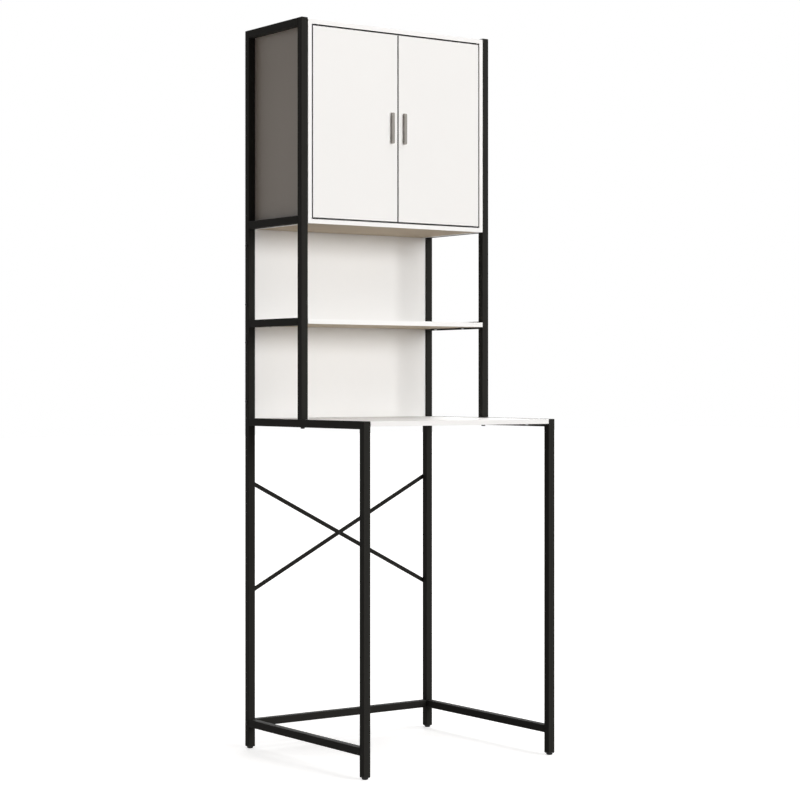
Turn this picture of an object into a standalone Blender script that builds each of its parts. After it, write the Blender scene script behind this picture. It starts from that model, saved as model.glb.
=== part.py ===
"""Bathroom cabinet with two doors, carried high on an open rack of square steel tube.

The rack has a table board at waist height with an open bay under it, a shelf above,
and the cabinet at the top. Metres, +Z up, the front faces -Y. The origin is on the
floor, under the middle of the bounding box. Left is -X, as seen from the front.
"""
import math

import bmesh
import bpy
from mathutils import Matrix, Vector

# Frame
FRAME_WIDTH = 0.640            # over the outer faces of the side tubes
FRAME_DEPTH = 0.590            # front legs' front faces to rear legs' rear faces
UPPER_DEPTH = 0.293            # front posts' front faces to rear posts' rear faces
TOP_HEIGHT = 2.017             # floor to the tops of the posts
TABLE_HEIGHT = 0.928           # floor to the tops of the legs and table rails
FLOOR_RAIL_HEIGHT = 0.082      # floor to the tops of the lowest rails
SHELF_RAIL_HEIGHT = 1.204      # floor to the tops of the shelf rails
CABINET_RAIL_HEIGHT = 1.4808   # floor to the tops of the rails beside the cabinet's bottom
TUBE_SIDE = 0.021              # square tube, over its powder coat
TUBE_WALL = 0.0012
TUBE_CORNER = 0.0018           # outer corner radius
CORNER_STEPS = 2               # flats round each corner
TOP_WALL = 0.0025              # closed top of a post or front leg
LEG_PLUG = 0.012               # threaded plug in a leg's lower end
POST_PLUG = 0.012              # threaded plug in a front post's lower end and in the cross rail
SPIGOT_LENGTH = 0.040          # how far a rear post reaches into the leg under it
SPIGOT_WALL = 0.0015

# Levelling feet
FOOT_HEIGHT = 0.0055           # floor to the lower end of a leg
FOOT_RADIUS = 0.009
FOOT_PAD_RADIUS = 0.0065       # flat part that stands on the floor
FOOT_BEVEL = 0.0018            # height of the sloping rim round the pad
FOOT_STEM_RADIUS = 0.003
FOOT_STEM_LENGTH = 0.030

# Boards, faced with white melamine
TABLE_BOARD = 0.013
SHELF_BOARD = 0.013
BACK_BOARD = 0.013
CABINET_BOARD = 0.012
TABLE_DROP = 0.0005            # table board's top below its rails' tops
SHELF_DROP = 0.0035            # shelf board's top below its rails' tops
BACK_SETBACK = 0.002           # back panels' rear faces in from the posts' rear faces
BOARD_EASE = 0.0005            # chamfer along a board's edges

# Cabinet
CABINET_TOP_DROP = 0.004       # cabinet's top below the posts' tops
CABINET_REAR_SETBACK = 0.006   # carcass boards' rear edges in from the posts' rear faces
CABINET_BACK = 0.003
INNER_SHELF_SHARE = 0.5        # of the cabinet's clear height less the inner shelf, how much is below it
INNER_SHELF_SETBACK = 0.030    # inner shelf's front edge behind the doors' backs
DOWEL_RADIUS = 0.003
DOWEL_REACH = 0.008            # how far a dowel goes into the side board
DOWEL_BITE = 0.020             # how far it goes into the inner shelf
DOWEL_INSET = 0.045            # inner shelf's front or rear edge to its dowels

# Doors
DOOR_THICKNESS = 0.015
DOOR_GAP = 0.003               # gap beside each door and between the doors
DOOR_END_GAP = 0.0038          # gap above and below each door
PIVOT_INSET = 0.012            # door's hinge edge to its pivot pins
PIVOT_DEPTH = 0.0055           # door's front face to its pivot pins
PIN_RADIUS = 0.0025
PIN_IN_DOOR = 0.020
PIN_TIP = 0.0005               # chamfer at both ends of a pin
BUSH_RADIUS = 0.0045
BUSH_LENGTH = 0.0095           # part of a bush that is sunk in its board
BUSH_FLANGE_RADIUS = 0.007

# Handles
HANDLE_LENGTH = 0.086
HANDLE_WIDTH = 0.008
HANDLE_STANDOFF = 0.0055       # finger gap behind the bar
HANDLE_BAR = 0.004
HANDLE_FOOT = 0.0085           # height of each foot, measured along the handle
HANDLE_CORNER = 0.0022         # slope at the handle's two ends
HANDLE_EDGE = 0.0195           # door's meeting edge to the middle of its handle
HANDLE_EASE = 0.0006
HANDLE_SCREW_RADIUS = 0.002
HANDLE_SCREW_BITE = 0.0055     # how far a handle's screw goes into its foot
HANDLE_SCREW_HEAD_RADIUS = 0.004
HANDLE_SCREW_HEAD = 0.0022

# Catch
CATCH_WIDTH = 0.052
CATCH_DEPTH = 0.014
CATCH_HEIGHT = 0.014
CATCH_SCREW_INSET = 0.006      # catch's end to its screw
STRIKE_RADIUS = 0.005
STRIKE_THICKNESS = 0.0012
STRIKE_PIN_LENGTH = 0.008
STRIKE_PIN_RADIUS = 0.0015
STRIKE_EDGE = 0.010            # door's meeting edge to the middle of its strike disc
STRIKE_DROP = 0.006            # door's top edge to the middle of its strike disc

# Cross brace behind the open bay
BRACE_HIGH = 0.752             # height of the upper bolts
BRACE_LOW = 0.434              # height of the lower bolts
BRACE_WIDTH = 0.012
BRACE_THICKNESS = 0.0016
BRACE_BOLT_RADIUS = 0.0025
BRACE_BOLT_LENGTH = 0.014
BRACE_COLLAR_RADIUS = 0.005
BRACE_HEAD_RADIUS = 0.005
BRACE_HEAD = 0.0022
BAR_END_STEPS = 6              # flats round each end of a bar

# Bolts that join the frame, and screws that hold the back panels
BOLT_HEAD_RADIUS = 0.005
BOLT_HEAD = 0.0027
POST_BOLT_HEAD_RADIUS = 0.006
POST_BOLT_HEAD = 0.0035
BOLT_RADIUS = 0.003
BOLT_LENGTH = 0.031
PANEL_SCREW_RADIUS = 0.0022
PANEL_SCREW_LENGTH = 0.046
PANEL_SCREW_INSET = 0.047      # back panel's upper or lower edge to its screws

# Tabs under the boards, and the screws that go up through them
TAB_REACH = 0.022
TAB_WIDTH = 0.024
TAB_THICKNESS = 0.002
TAB_END = 0.060                # rail's end to the middle of its tab
TAB_HOLE_INSET = 0.012         # rail's inner face to the tab's screw
SCREW_HEAD_RADIUS = 0.004
SCREW_HEAD = 0.0022
SCREW_RADIUS = 0.0017
SCREW_LENGTH = 0.011

# Screws that join the cabinet's boards, and those that hold it to the posts
JOINT_HEAD_RADIUS = 0.0035
JOINT_HEAD = 0.003
JOINT_RADIUS = 0.0025
JOINT_LENGTH = 0.045
JOINT_INSET = 0.050            # carcass board's front or rear edge to its joining screws
FIXING_RADIUS = 0.0018
FIXING_REACH = 0.008           # how far a fixing screw goes past its side board
FIXING_INSET = 0.060           # cabinet's inner top or bottom to its fixing screws

# Clearances
FIT_GAP = 0.0003               # between two pieces that touch
CUT_OVERRUN = 0.001            # how far a hole is cut past a face that it goes through

# Roundness of turned pieces
BOLT_SIDES = 12
FOOT_SIDES = 20
SMOOTH_ANGLE = math.radians(40)
HEAD_CROWN_SHARE = 0.6         # flat top of a crowned head, as a share of its radius

# Places worked out from the sizes above
rear_stack = 2 * (FIT_GAP + BRACE_THICKNESS) + BRACE_HEAD
front_y = -(FRAME_DEPTH + rear_stack) / 2
rear_y = front_y + FRAME_DEPTH
post_front_y = rear_y - UPPER_DEPTH
half_width = FRAME_WIDTH / 2
inner_half = half_width - TUBE_SIDE
tube_x = half_width - TUBE_SIDE / 2
front_leg_y = front_y + TUBE_SIDE / 2
front_post_y = post_front_y + TUBE_SIDE / 2
rear_tube_y = rear_y - TUBE_SIDE / 2
bore_side = TUBE_SIDE - 2 * TUBE_WALL
board_half = inner_half - FIT_GAP
cross_rail_z = FLOOR_RAIL_HEIGHT - TUBE_SIDE / 2

shelf_top = SHELF_RAIL_HEIGHT - SHELF_DROP
shelf_low = shelf_top - SHELF_BOARD
table_top = TABLE_HEIGHT - TABLE_DROP
table_low = table_top - TABLE_BOARD
back_rear_y = rear_y - BACK_SETBACK
back_middle_y = back_rear_y - BACK_BOARD / 2

cabinet_low = CABINET_RAIL_HEIGHT - TUBE_SIDE
cabinet_top = TOP_HEIGHT - CABINET_TOP_DROP
cabinet_floor = cabinet_low + CABINET_BOARD
cabinet_ceiling = cabinet_top - CABINET_BOARD
cabinet_rear_y = rear_y - CABINET_REAR_SETBACK
opening_half = board_half - CABINET_BOARD
door_back_y = post_front_y + DOOR_THICKNESS
door_low = cabinet_floor + DOOR_END_GAP
door_high = cabinet_ceiling - DOOR_END_GAP
door_middle = (door_low + door_high) / 2
pivot_x = opening_half - DOOR_GAP - PIVOT_INSET
pivot_y = post_front_y + PIVOT_DEPTH
bush_flange = DOOR_END_GAP - 2 * FIT_GAP
inner_shelf_low = cabinet_floor + INNER_SHELF_SHARE * (cabinet_ceiling - cabinet_floor - CABINET_BOARD)
inner_shelf_front_y = door_back_y + INNER_SHELF_SETBACK
catch_front_y = door_back_y + STRIKE_THICKNESS + 2 * FIT_GAP
strike_z = door_high - STRIKE_DROP

SIDES = (("left", -1), ("right", 1))
UP = Vector((0, 0, 1))
DOWN = Vector((0, 0, -1))
BACK = Vector((0, 1, 0))
FORWARD = Vector((0, -1, 0))
RIGHT = Vector((1, 0, 0))

# Finishes: name, colour, roughness and metallic value
BLACK_COAT = ("black_coat", (0.022, 0.021, 0.020), 0.55, 0.0)
BLACK_PLASTIC = ("black_plastic", (0.018, 0.018, 0.018), 0.60, 0.0)
BLACK_STEEL = ("black_steel", (0.030, 0.030, 0.030), 0.40, 0.6)
WHITE_BOARD = ("white_board", (0.86, 0.86, 0.85), 0.45, 0.0)
WHITE_PLASTIC = ("white_plastic", (0.80, 0.80, 0.78), 0.50, 0.0)
BRUSHED_NICKEL = ("brushed_nickel", (0.46, 0.44, 0.41), 0.35, 1.0)
ZINC = ("zinc", (0.55, 0.56, 0.58), 0.35, 1.0)


def clear_scene():
    for item in list(bpy.data.objects):
        bpy.data.objects.remove(item, do_unlink=True)


def finish(description):
    """The named material, made on its first use."""
    name, colour, roughness, metallic = description
    material = bpy.data.materials.get(name)
    if material is None:
        material = bpy.data.materials.new(name)
        material.use_nodes = True
        shader = material.node_tree.nodes["Principled BSDF"]
        shader.inputs["Base Color"].default_value = (*colour, 1)
        shader.inputs["Roughness"].default_value = roughness
        shader.inputs["Metallic"].default_value = metallic
    return material


def new_object(name, shape, description=None, place=Vector((0, 0, 0)), smooth=False):
    """An object from a shape drawn in world metres, with its origin moved to a place."""
    bmesh.ops.recalc_face_normals(shape, faces=shape.faces)
    bmesh.ops.translate(shape, vec=-place, verts=shape.verts)
    mesh = bpy.data.meshes.new(name)
    shape.to_mesh(mesh)
    shape.free()
    item = bpy.data.objects.new(name, mesh)
    item.location = place
    bpy.context.scene.collection.objects.link(item)
    if description:
        mesh.materials.append(finish(description))
    if smooth:
        mesh.shade_smooth()
        mesh.set_sharp_from_angle(angle=SMOOTH_ANGLE)
    return item


def circle(radius, sides):
    """Points round a circle, centred on zero."""
    turns = [(step + 0.5) / sides * 2 * math.pi for step in range(sides)]
    return [Vector((radius * math.cos(turn), radius * math.sin(turn))) for turn in turns]


def rounded_square(side, radius):
    """Points round a square with rounded corners, centred on zero."""
    points = []
    for corner in range(4):
        centre = Matrix.Rotation(corner * math.pi / 2, 2) @ Vector((side / 2 - radius, side / 2 - radius))
        for step in range(CORNER_STEPS + 1):
            turn = (corner + step / CORNER_STEPS) * math.pi / 2
            points.append(centre + Vector((radius * math.cos(turn), radius * math.sin(turn))))
    return points


def add_stack(shape, sections, start, direction, bored=False):
    """A solid through a stack of outlines, each with its distance along a direction.

    A bored solid runs from its last outline back to its first, so it has a way through.
    """
    matrix = Matrix.Translation(start) @ UP.rotation_difference(direction).to_matrix().to_4x4()
    loops = [[shape.verts.new(matrix @ Vector((*point, along))) for point in outline]
             for outline, along in sections]
    if bored:
        loops.append(loops[0])
    else:
        shape.faces.new(loops[0])
        shape.faces.new(loops[-1])
    for first, second in zip(loops, loops[1:]):
        for step in range(len(first)):
            shape.faces.new((first[step - 1], first[step], second[step], second[step - 1]))


def add_turned(shape, profile, start, direction, sides=BOLT_SIDES, bored=False):
    """A solid of revolution. The profile gives distances along the axis, each with a radius."""
    sections = [(circle(radius, sides), along) for along, radius in profile]
    add_stack(shape, sections, start, direction, bored)


def add_screw(shape, seat, direction, head_radius, head, radius, length):
    """A screw whose crowned head stands on a seat point, with its shank going in from there."""
    profile = ((-head, head_radius * HEAD_CROWN_SHARE), (-head / 2, head_radius), (0, head_radius),
               (0, radius), (length, radius))
    add_turned(shape, profile, seat, direction)


def add_box(shape, low, high):
    """A box between two opposite corners."""
    low, high = Vector(low), Vector(high)
    size = high - low
    matrix = Matrix.Translation((low + high) / 2) @ Matrix.Diagonal((*size, 1))
    bmesh.ops.create_cube(shape, size=1, matrix=matrix)


def change(target, purpose, shape, operation):
    """Cut an unseen solid out of a target, or join it to the target."""
    tool = new_object(target.name + "_" + purpose, shape)
    tool.hide_render = True
    tool.display_type = "WIRE"
    step = target.modifiers.new(purpose, "BOOLEAN")
    step.operation = operation
    step.object = tool


def join(target, shape):
    change(target, "fixings", shape, "UNION")


def drill(target, holes):
    """Cut round holes. Each is a seat point, a direction and a profile as for a turned piece."""
    shape = bmesh.new()
    for seat, direction, profile in holes:
        add_turned(shape, profile, seat, direction)
    change(target, "holes", shape, "DIFFERENCE")


def hole(seat, direction, depth, radius):
    """A hole with clearance for a shank, to a depth under a seat point."""
    return seat, direction, ((-CUT_OVERRUN, radius + FIT_GAP), (depth, radius + FIT_GAP))


def sunk_hole(seat, direction, depth, radius, head, head_radius):
    """A hole with clearance for a shank and for a head that is sunk at the seat."""
    wide, narrow = head_radius + FIT_GAP, radius + FIT_GAP
    floor = head + FIT_GAP
    return seat, direction, ((-CUT_OVERRUN, wide), (floor, wide), (floor, narrow), (depth, narrow))


def board(name, low, high, description=WHITE_BOARD):
    """A flat board between two opposite corners, with eased edges."""
    shape = bmesh.new()
    add_box(shape, low, high)
    bmesh.ops.bevel(shape, geom=shape.edges[:], offset=BOARD_EASE, segments=1, affect="EDGES")
    return new_object(name, shape, description)


def tube(name, start, end, low_wall=0, low_bore=0, high_wall=0, high_bore=0, spigot=0):
    """A square tube along one axis, from its low end at start to its high end.

    An end with a wall is closed but for its bore. A spigot sticks out of the low end.
    """
    start, end = Vector(start), Vector(end)
    length = (end - start).length
    corner = TUBE_CORNER - TUBE_WALL
    outer = rounded_square(TUBE_SIDE, TUBE_CORNER)
    inner = rounded_square(bore_side, corner)
    sections = [(inner, length - high_wall), (inner, low_wall)]
    if low_bore:
        bore = circle(low_bore, len(outer))
        sections += [(bore, low_wall), (bore, 0)]
    if spigot:
        spigot_side = bore_side - 2 * FIT_GAP
        spigot_inner = rounded_square(spigot_side - 2 * SPIGOT_WALL, corner)
        spigot_outer = rounded_square(spigot_side, corner)
        sections += [(spigot_inner, low_wall), (spigot_inner, -spigot), (spigot_outer, -spigot),
                     (spigot_outer, 0)]
    sections += [(outer, 0), (outer, length)]
    if high_bore:
        bore = circle(high_bore, len(outer))
        sections += [(bore, length), (bore, length - high_wall)]
    shape = bmesh.new()
    closed = high_wall > 0 and high_bore == 0
    add_stack(shape, sections, start, (end - start).normalized(), bored=not closed)
    return new_object(name, shape, BLACK_COAT, place=start, smooth=True)


# Seats: the points on the surface by which bolts, screws, dowels and pins enter
def cross_bolt_seat(side):
    return Vector((side * half_width, rear_tube_y, cross_rail_z))


def post_bolt_seat(side):
    return Vector((side * tube_x, front_post_y, TABLE_HEIGHT - TUBE_SIDE))


def panel_screw_seats(side):
    """Seats on a rear post's outer face, from the lowest up."""
    heights = (table_top + PANEL_SCREW_INSET, shelf_low - PANEL_SCREW_INSET,
               shelf_top + PANEL_SCREW_INSET, cabinet_low - PANEL_SCREW_INSET)
    return [Vector((side * half_width, back_middle_y, height)) for height in heights]


def fixing_seats(side, depth):
    """Seats on a cabinet side's outer face, facing one post."""
    heights = (cabinet_floor + FIXING_INSET, cabinet_ceiling - FIXING_INSET)
    return [Vector((side * board_half, depth, height)) for height in heights]


def joint_seats(side, height):
    """Seats on a cabinet side's outer face, for the screws into its top or bottom board."""
    depths = (post_front_y + JOINT_INSET, cabinet_rear_y - JOINT_INSET)
    return [Vector((side * board_half, depth, height)) for depth in depths]


def dowel_seats(side):
    """Seats on a cabinet side's inner face."""
    depths = (inner_shelf_front_y + DOWEL_INSET, cabinet_rear_y - DOWEL_INSET)
    height = inner_shelf_low + CABINET_BOARD / 2
    return [Vector((side * opening_half, depth, height)) for depth in depths]


def tab_depths(face_y):
    """Where a rail's tabs are, for a rail behind a tube with its front face at a depth."""
    return face_y + TUBE_SIDE + TAB_END, rear_y - TUBE_SIDE - TAB_END


def tab_screw_seat(side, depth, underside):
    """Seat on a tab's lower face."""
    return Vector((side * (inner_half - TAB_HOLE_INSET), depth, underside - FIT_GAP - TAB_THICKNESS))


def pivot_seats(side):
    """Where a door's pivot line meets the cabinet's bottom and top, and the way into each."""
    return ((Vector((side * pivot_x, pivot_y, cabinet_floor)), DOWN),
            (Vector((side * pivot_x, pivot_y, cabinet_ceiling)), UP))


def catch_screw_seats():
    """Where the catch's screws enter the cabinet's top board."""
    reach = CATCH_WIDTH / 2 - CATCH_SCREW_INSET
    return [Vector((side * reach, catch_front_y + CATCH_DEPTH / 2, cabinet_ceiling)) for _, side in SIDES]


def handle_place(side):
    """Middle of a handle, on the door's front face."""
    return Vector((side * (DOOR_GAP / 2 + HANDLE_EDGE), post_front_y, door_middle))


def handle_screw_seats(side):
    """Where a handle's screws come through the door's front face."""
    reach = (HANDLE_LENGTH - HANDLE_FOOT) / 2
    return [handle_place(side) + UP * away for away in (-reach, reach)]


def post_wall_holes(side, depth):
    """Holes through a post's inner wall for the screws that hold the cabinet."""
    return [hole(seat, side * RIGHT, TUBE_SIDE / 2, FIXING_RADIUS) for seat in fixing_seats(side, depth)]


def make_legs():
    """Legs under the table board. Plugs in their lower ends hold the feet."""
    bore = FOOT_STEM_RADIUS + FIT_GAP
    for word, side in SIDES:
        x = side * tube_x
        tube("front_leg_" + word, (x, front_leg_y, FOOT_HEIGHT), (x, front_leg_y, TABLE_HEIGHT),
             low_wall=LEG_PLUG, low_bore=bore, high_wall=TOP_WALL)
        leg = tube("rear_leg_" + word, (x, rear_tube_y, FOOT_HEIGHT), (x, rear_tube_y, TABLE_HEIGHT),
                   low_wall=LEG_PLUG, low_bore=bore)
        holes = [hole(cross_bolt_seat(side), -side * RIGHT, TUBE_SIDE + CUT_OVERRUN, BOLT_RADIUS)]
        for height in (BRACE_HIGH, BRACE_LOW):
            holes.append(hole(Vector((x, rear_y, height)), FORWARD, TUBE_SIDE / 2, BRACE_BOLT_RADIUS))
        drill(leg, holes)


def make_posts():
    """Posts above the table board. The rear ones stand in the rear legs by their spigots."""
    low = TABLE_HEIGHT + FIT_GAP
    for word, side in SIDES:
        x = side * tube_x
        rear = tube("rear_post_" + word, (x, rear_tube_y, low), (x, rear_tube_y, TOP_HEIGHT),
                    low_wall=SPIGOT_WALL, high_wall=TOP_WALL, spigot=SPIGOT_LENGTH)
        screws = [hole(seat, -side * RIGHT, TUBE_SIDE + CUT_OVERRUN, PANEL_SCREW_RADIUS)
                  for seat in panel_screw_seats(side)]
        drill(rear, screws + post_wall_holes(side, rear_tube_y))
        front = tube("front_post_" + word, (x, front_post_y, low), (x, front_post_y, TOP_HEIGHT),
                     low_wall=POST_PLUG, low_bore=BOLT_RADIUS + FIT_GAP, high_wall=TOP_WALL)
        drill(front, post_wall_holes(side, front_post_y))


def make_side_rails():
    """Rails between the front and rear tubes. Those under a board carry it on two tabs."""
    levels = (("floor_rail_", FLOOR_RAIL_HEIGHT, front_y, 0),
              ("table_rail_", TABLE_HEIGHT, front_y, table_low),
              ("shelf_rail_", SHELF_RAIL_HEIGHT, post_front_y, shelf_low),
              ("cabinet_rail_", CABINET_RAIL_HEIGHT, post_front_y, 0),
              ("top_rail_", TOP_HEIGHT, post_front_y, 0))
    for word, side in SIDES:
        for prefix, height, face_y, underside in levels:
            z = height - TUBE_SIDE / 2
            rail = tube(prefix + word, (side * tube_x, face_y + TUBE_SIDE + FIT_GAP, z),
                        (side * tube_x, rear_y - TUBE_SIDE - FIT_GAP, z))
            if underside:
                join(rail, tabs(side, face_y, underside))
                holes = [hole(tab_screw_seat(side, depth, underside), UP, TAB_THICKNESS + CUT_OVERRUN,
                              SCREW_RADIUS) for depth in tab_depths(face_y)]
                if height == TABLE_HEIGHT:
                    holes.append(hole(post_bolt_seat(side), UP, TUBE_SIDE + CUT_OVERRUN, BOLT_RADIUS))
                drill(rail, holes)


def tabs(side, face_y, underside):
    """The tabs welded to a rail's inner face, just under its board."""
    shape = bmesh.new()
    near, far = sorted((side * (inner_half + TUBE_WALL / 2), side * (inner_half - TAB_REACH)))
    top = underside - FIT_GAP
    for depth in tab_depths(face_y):
        add_box(shape, (near, depth - TAB_WIDTH / 2, top - TAB_THICKNESS), (far, depth + TAB_WIDTH / 2, top))
    return shape


def make_cross_rail():
    """The low rail between the rear legs, with a threaded plug in each end."""
    reach = inner_half - FIT_GAP
    bore = BOLT_RADIUS + FIT_GAP
    tube("rear_cross_rail", (-reach, rear_tube_y, cross_rail_z), (reach, rear_tube_y, cross_rail_z),
         low_wall=POST_PLUG, low_bore=bore, high_wall=POST_PLUG, high_bore=bore)


def make_feet():
    """Levelling feet: a disc on a threaded stem, which turns in the leg's plug."""
    disc_top = FOOT_HEIGHT - FIT_GAP
    profile = ((0, FOOT_PAD_RADIUS), (FOOT_BEVEL, FOOT_RADIUS), (disc_top, FOOT_RADIUS),
               (disc_top, FOOT_STEM_RADIUS), (disc_top + FOOT_STEM_LENGTH, FOOT_STEM_RADIUS))
    for word, side in SIDES:
        for row, depth in (("front", front_leg_y), ("rear", rear_tube_y)):
            place = Vector((side * tube_x, depth, 0))
            shape = bmesh.new()
            add_turned(shape, profile, place, UP, FOOT_SIDES)
            new_object("foot_%s_%s" % (row, word), shape, BLACK_PLASTIC, place=place, smooth=True)


def make_frame_fasteners():
    """Bolts of the cross rail and the front posts, and the back panels' screws."""
    for word, side in SIDES:
        inward = -side * RIGHT
        head, shank = (BOLT_HEAD_RADIUS, BOLT_HEAD), (BOLT_RADIUS, BOLT_LENGTH)
        post_head = (POST_BOLT_HEAD_RADIUS, POST_BOLT_HEAD)
        places = [("cross_rail_bolt_" + word, cross_bolt_seat(side), inward, head + shank),
                  ("post_bolt_" + word, post_bolt_seat(side), UP, post_head + shank)]
        for number, seat in enumerate(panel_screw_seats(side), 1):
            places.append(("panel_screw_%s_%d" % (word, number), seat, inward,
                           head + (PANEL_SCREW_RADIUS, PANEL_SCREW_LENGTH)))
        for name, seat, direction, sizes in places:
            place = seat - direction * FIT_GAP
            shape = bmesh.new()
            add_screw(shape, place, direction, *sizes)
            new_object(name, shape, BLACK_STEEL, place=place, smooth=True)


def brace_ends(layer):
    """A brace bar's two bolt places, on its front face. Layer 0 lies against the legs."""
    face_y = rear_y + FIT_GAP + layer * (BRACE_THICKNESS + FIT_GAP)
    heights = (BRACE_LOW, BRACE_HIGH) if layer else (BRACE_HIGH, BRACE_LOW)
    return [Vector((side * tube_x, face_y, height)) for (_, side), height in zip(SIDES, heights)]


def make_brace():
    """Two flat bars that cross behind the open bay, bolted to the rear legs and riveted together."""
    inside = BRACE_THICKNESS / 2
    head = ((inside, BRACE_HEAD_RADIUS), (BRACE_THICKNESS + BRACE_HEAD / 2, BRACE_HEAD_RADIUS),
            (BRACE_THICKNESS + BRACE_HEAD, BRACE_HEAD_RADIUS * HEAD_CROWN_SHARE))
    for name, layer in (("brace_bar_inner", 0), ("brace_bar_outer", 1)):
        start, end = brace_ends(layer)
        middle = (start + end) / 2
        bar = new_object(name, bar_shape(start, end), BLACK_COAT, place=middle)
        fixings = bmesh.new()
        if layer:
            collar = -layer * (BRACE_THICKNESS + FIT_GAP)
            shank = ((collar - BRACE_BOLT_LENGTH, BRACE_BOLT_RADIUS), (collar, BRACE_BOLT_RADIUS),
                     (collar, BRACE_COLLAR_RADIUS), (inside, BRACE_COLLAR_RADIUS))
            drill(bar, [hole(middle, BACK, BRACE_THICKNESS + CUT_OVERRUN, BRACE_BOLT_RADIUS)])
        else:
            shank = ((-BRACE_BOLT_LENGTH, BRACE_BOLT_RADIUS), (inside, BRACE_BOLT_RADIUS))
            add_rivet(fixings, middle)
        for seat in (start, end):
            add_turned(fixings, shank + head, seat, BACK)
        join(bar, fixings)


def bar_shape(start, end):
    """A flat bar with round ends between two bolt places on its front face."""
    along = (end - start).normalized()
    across = along.cross(BACK)
    outline = []
    for middle, way, sideways in ((end, along, across), (start, -along, -across)):
        for step in range(BAR_END_STEPS + 1):
            turn = math.pi * (step / BAR_END_STEPS - 0.5)
            outline.append(middle + BRACE_WIDTH / 2 * (way * math.cos(turn) + sideways * math.sin(turn)))
    shape = bmesh.new()
    front = [shape.verts.new(point) for point in outline]
    rear = [shape.verts.new(point + BACK * BRACE_THICKNESS) for point in outline]
    shape.faces.new(front)
    shape.faces.new(rear)
    for step in range(len(outline)):
        shape.faces.new((front[step - 1], front[step], rear[step], rear[step - 1]))
    return shape


def add_rivet(shape, middle):
    """The inner bar's rivet, whose rear head holds the outer bar."""
    inside = BRACE_THICKNESS / 2
    grip = 2 * (BRACE_THICKNESS + FIT_GAP)
    profile = ((-BRACE_HEAD, BRACE_HEAD_RADIUS * HEAD_CROWN_SHARE), (-BRACE_HEAD / 2, BRACE_HEAD_RADIUS),
               (inside, BRACE_HEAD_RADIUS), (inside, BRACE_BOLT_RADIUS), (grip, BRACE_BOLT_RADIUS),
               (grip, BRACE_HEAD_RADIUS), (grip + BRACE_HEAD / 2, BRACE_HEAD_RADIUS),
               (grip + BRACE_HEAD - FIT_GAP, BRACE_HEAD_RADIUS * HEAD_CROWN_SHARE))
    add_turned(shape, profile, middle, BACK)


def make_boards():
    """Table board and shelf board with the screws under them, and the two back panels."""
    for name, face_y, back_y, underside, top in (
            ("table_board", front_y, rear_y, table_low, table_top),
            ("shelf_board", post_front_y, back_rear_y, shelf_low, shelf_top)):
        panel = board(name, (-board_half, face_y, underside), (board_half, back_y, top))
        screws = bmesh.new()
        for _, side in SIDES:
            for depth in tab_depths(face_y):
                seat = tab_screw_seat(side, depth, underside) - UP * FIT_GAP
                add_screw(screws, seat, UP, SCREW_HEAD_RADIUS, SCREW_HEAD, SCREW_RADIUS, SCREW_LENGTH)
        join(panel, screws)
    for name, low, high in (("back_panel_lower", table_top + FIT_GAP, shelf_low - FIT_GAP),
                            ("back_panel_upper", shelf_top + FIT_GAP, cabinet_low - FIT_GAP)):
        panel = board(name, (-board_half, back_rear_y - BACK_BOARD, low), (board_half, back_rear_y, high))
        drill(panel, [hole(seat, -side * RIGHT, PANEL_SCREW_LENGTH, PANEL_SCREW_RADIUS)
                      for _, side in SIDES for seat in panel_screw_seats(side) if low < seat.z < high])


def make_cabinet_sides():
    """Side boards, each with the screws that hold it to the posts."""
    for word, side in SIDES:
        low_x, high_x = sorted((side * opening_half, side * board_half))
        panel = board("cabinet_side_" + word, (low_x, post_front_y, cabinet_low),
                      (high_x, cabinet_rear_y, cabinet_top))
        outward = side * RIGHT
        holes = [hole(seat, outward, DOWEL_REACH + FIT_GAP, DOWEL_RADIUS) for seat in dowel_seats(side)]
        for height in (cabinet_low + CABINET_BOARD / 2, cabinet_top - CABINET_BOARD / 2):
            holes += [sunk_hole(seat, -outward, CABINET_BOARD + CUT_OVERRUN, JOINT_RADIUS, JOINT_HEAD,
                                JOINT_HEAD_RADIUS) for seat in joint_seats(side, height)]
        drill(panel, holes)
        screws = bmesh.new()
        profile = ((-CABINET_BOARD / 2, FIXING_RADIUS), (FIXING_REACH, FIXING_RADIUS))
        for depth in (front_post_y, rear_tube_y):
            for seat in fixing_seats(side, depth):
                add_turned(screws, profile, seat, outward)
        join(panel, screws)


def make_cabinet_ends():
    """Bottom and top of the cabinet, with the screws that join them to the sides."""
    reach = opening_half - FIT_GAP
    screw = ((0, JOINT_HEAD_RADIUS), (JOINT_HEAD, JOINT_HEAD_RADIUS), (JOINT_HEAD, JOINT_RADIUS),
             (JOINT_LENGTH, JOINT_RADIUS))
    for name, low, high, way in (("cabinet_bottom", cabinet_low, cabinet_floor, DOWN),
                                 ("cabinet_top", cabinet_ceiling, cabinet_top, UP)):
        panel = board(name, (-reach, post_front_y, low), (reach, cabinet_rear_y, high))
        holes = [hole(seat, way, BUSH_LENGTH + FIT_GAP, BUSH_RADIUS)
                 for _, side in SIDES for seat, direction in pivot_seats(side) if direction == way]
        if way == UP:
            holes += [hole(seat, UP, SCREW_LENGTH + FIT_GAP, SCREW_RADIUS) for seat in catch_screw_seats()]
        drill(panel, holes)
        screws = bmesh.new()
        for _, side in SIDES:
            for seat in joint_seats(side, (low + high) / 2):
                add_turned(screws, screw, seat, -side * RIGHT)
        join(panel, screws)


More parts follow.
